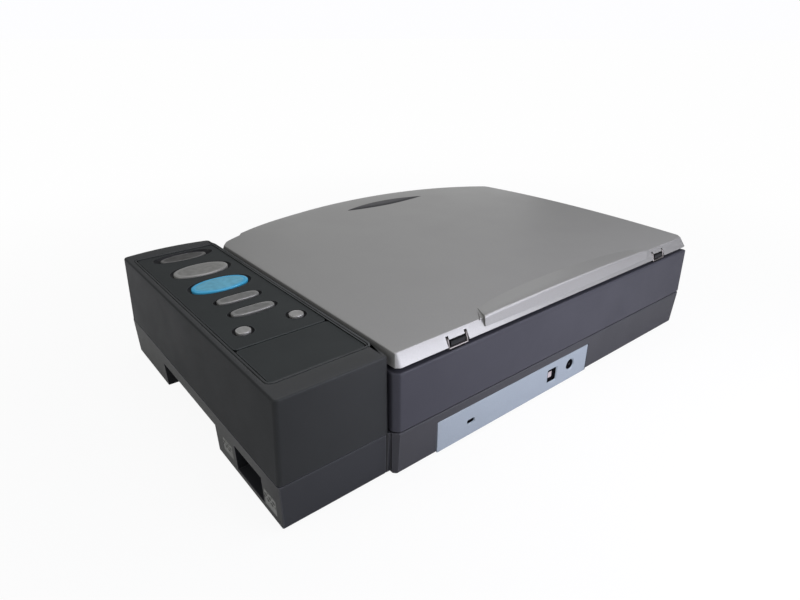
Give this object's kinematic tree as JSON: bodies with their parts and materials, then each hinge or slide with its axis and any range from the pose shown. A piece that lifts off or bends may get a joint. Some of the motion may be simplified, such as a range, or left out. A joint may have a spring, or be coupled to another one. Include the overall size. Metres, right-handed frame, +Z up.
{
  "type": "flatbed scanner",
  "caption": "Desktop flatbed scanner with a hinged, crowned lid on wire bails, a leaning book edge, a taller control module at one end, and sockets on the rear.",
  "frame": {"origin": "middle of the footprint, at the height of the feet's undersides", "axes": "+X along the length towards the control module, +Y towards the hinges and sockets, -Y towards the book edge, +Z up"},
  "size_m": [0.454, 0.3136, 0.0978],
  "materials": {
    "charcoal_plastic": "fine grain",
    "black_plastic": "smooth",
    "panel_plastic": "fine grain",
    "silver_paint": "silver paint",
    "button_silver": "satin silver",
    "button_grey": "satin",
    "button_blue": "satin",
    "button_dark": "gloss",
    "port_plate_paint": "satin",
    "platen_glass": "clear",
    "bright_steel": "bright",
    "white_sheet": "matte",
    "grey_foam": "open foam",
    "foot_rubber": "matte",
    "circuit_board": "satin",
    "front_mirror": "polished",
    "lamp_tube": "white coated",
    "bushing_brass": "sintered",
    "flex_cable": "satin"
  },
  "bodies": {
    "base": {"lower_case": "charcoal_plastic", "upper_housing": "charcoal_plastic", "module_housing": "charcoal_plastic", "platen_glass": "platen_glass", "calibration_strip": "white_sheet", "control_panel": "panel_plastic", "label_plate": "panel_plastic", "button_board": "circuit_board", "hinge_block_left": "black_plastic", "hinge_block_right": "black_plastic", "port_plate": "port_plate_paint", "usb_socket": "bright_steel", "power_jack": "black_plastic", "main_board": "circuit_board", "guide_rod": "bright_steel", "drive_belt": "foot_rubber", "stepper_motor": "bright_steel", "idler_bracket": "bright_steel", "glide_rail": "black_plastic", "flex_cable": "flex_cable", "foot_left_rear": "foot_rubber", "foot_left_front": "foot_rubber", "foot_right_rear": "foot_rubber", "foot_right_front": "foot_rubber"},
    "bail_left": {"bail_left": "bright_steel"},
    "bail_right": {"bail_right": "bright_steel"},
    "lid": {"lid_shell": "silver_paint", "lid_badge": "black_plastic", "pad_sheet": "white_sheet", "pad_foam": "grey_foam", "bail_socket_left": "black_plastic", "bail_socket_right": "black_plastic"},
    "carriage": {"carriage_tray": "black_plastic", "carriage_cover": "black_plastic", "scan_lamp": "lamp_tube", "lamp_reflector": "bright_steel", "mirror_upper": "front_mirror", "mirror_lower": "front_mirror", "scan_lens": "black_plastic", "sensor_board": "circuit_board", "rod_bushing_left": "bushing_brass", "rod_bushing_right": "bushing_brass", "belt_clamp": "black_plastic", "glide_shoe": "white_sheet"},
    "drive_pulley": {"drive_pulley": "black_plastic"},
    "idler_pulley": {"idler_pulley": "black_plastic"},
    "lock_slider": {"lock_slider": "black_plastic"},
    "dark_button": {"dark_button": "button_dark"},
    "grey_button": {"grey_button": "button_grey"},
    "blue_button": {"blue_button": "button_blue"},
    "slim_button_front": {"slim_button_front": "button_silver"},
    "slim_button_rear": {"slim_button_rear": "button_silver"},
    "round_button_left": {"round_button_left": "button_silver"},
    "round_button_right": {"round_button_right": "button_silver"}
  },
  "joints": [
    {"name": "lid_swing", "type": "hinge", "parent": "base", "child": "bail_left", "pos_m": [-0.1715, 0.15505, 0.0834], "axis": [-1, 0, 0], "range_deg": [0, 92]},
    {"name": "lid_tilt", "type": "hinge", "parent": "bail_left", "child": "lid", "pos_m": [-0.1715, 0.14805, 0.0894], "axis": [-1, 0, 0], "range_deg": [0, 8]},
    {"name": "bail_right_swing", "type": "hinge", "parent": "base", "child": "bail_right", "pos_m": [0.0891, 0.15505, 0.0834], "axis": [-1, 0, 0], "range_deg": [0, 92]},
    {"name": "carriage_slide", "type": "slide", "parent": "base", "child": "carriage", "axis": [-1, 0, 0], "range_m": [0, 0.285]},
    {"name": "drive_spin", "type": "hinge", "parent": "base", "child": "drive_pulley", "pos_m": [-0.1984, 0.02685, 0.0306], "axis": [0, 0, 1], "continuous": true},
    {"name": "idler_spin", "type": "hinge", "parent": "base", "child": "idler_pulley", "pos_m": [0.128, 0.02685, 0.0306], "axis": [0, 0, 1], "continuous": true},
    {"name": "lock_slide", "type": "slide", "parent": "base", "child": "lock_slider", "axis": [0, 1, 0], "range_m": [0, 0.02]},
    {"name": "dark_press", "type": "slide", "parent": "base", "child": "dark_button", "axis": [0, 0, -1], "range_m": [0, 0.0015], "stiffness_N_per_m": 300, "springref_m": -0.001},
    {"name": "grey_press", "type": "slide", "parent": "base", "child": "grey_button", "axis": [0, 0, -1], "range_m": [0, 0.0015], "stiffness_N_per_m": 300, "springref_m": -0.001},
    {"name": "blue_press", "type": "slide", "parent": "base", "child": "blue_button", "axis": [0, 0, -1], "range_m": [0, 0.0015], "stiffness_N_per_m": 300, "springref_m": -0.001},
    {"name": "slim_front_press", "type": "slide", "parent": "base", "child": "slim_button_front", "axis": [0, 0, -1], "range_m": [0, 0.0015], "stiffness_N_per_m": 300, "springref_m": -0.001},
    {"name": "slim_rear_press", "type": "slide", "parent": "base", "child": "slim_button_rear", "axis": [0, 0, -1], "range_m": [0, 0.0015], "stiffness_N_per_m": 300, "springref_m": -0.001},
    {"name": "round_left_press", "type": "slide", "parent": "base", "child": "round_button_left", "axis": [0, 0, -1], "range_m": [0, 0.0015], "stiffness_N_per_m": 300, "springref_m": -0.001},
    {"name": "round_right_press", "type": "slide", "parent": "base", "child": "round_button_right", "axis": [0, 0, -1], "range_m": [0, 0.0015], "stiffness_N_per_m": 300, "springref_m": -0.001}
  ],
  "couplings": [
    {"joint": "bail_right_swing", "follows": "lid_swing", "ratio": 1},
    {"joint": "drive_spin", "follows": "carriage_slide", "rad_per_m": 151.51},
    {"joint": "idler_spin", "follows": "carriage_slide", "rad_per_m": 151.51}
  ]
}
